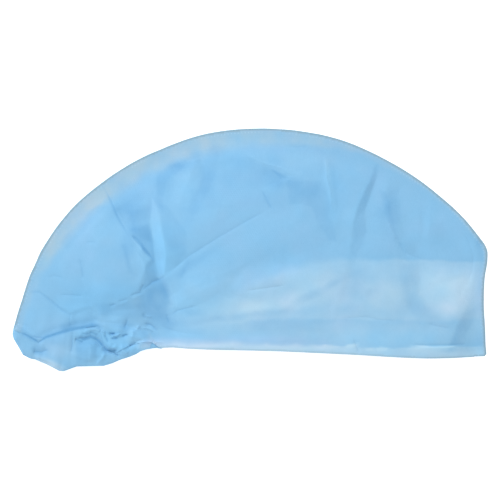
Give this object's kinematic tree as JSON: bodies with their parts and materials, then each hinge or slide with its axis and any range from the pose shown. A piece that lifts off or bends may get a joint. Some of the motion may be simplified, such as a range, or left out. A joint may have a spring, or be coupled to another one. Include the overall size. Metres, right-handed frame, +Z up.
{
  "type": "surgical cap",
  "caption": "Disposable surgical cap lying on its side: two side panels, welded crown seam, hemmed mouth, forehead sweatband and gathered nape",
  "frame": {"origin": "middle of the bounding box at the height of the surface that the cap lies on", "axes": "+X towards the forehead, the cap's length; +Y towards the crown, with the mouth open towards -Y; +Z up, the right side of the cap"},
  "size_m": [0.2895, 0.1461, 0.0273],
  "materials": {
    "nonwoven_cloth": "light blue spunbond nonwoven, matt, slightly see-through",
    "welded_edge": "light blue nonwoven pressed in a welded edge",
    "absorbent_band": "white absorbent nonwoven",
    "elastic": "white flat elastic"
  },
  "bodies": {
    "root": {"right_panel": "nonwoven_cloth", "left_panel": "nonwoven_cloth", "crown_seam": "welded_edge", "hem": "welded_edge", "sweatband": "absorbent_band", "back_casing": "nonwoven_cloth", "back_elastic": "elastic"}
  },
  "joints": []
}
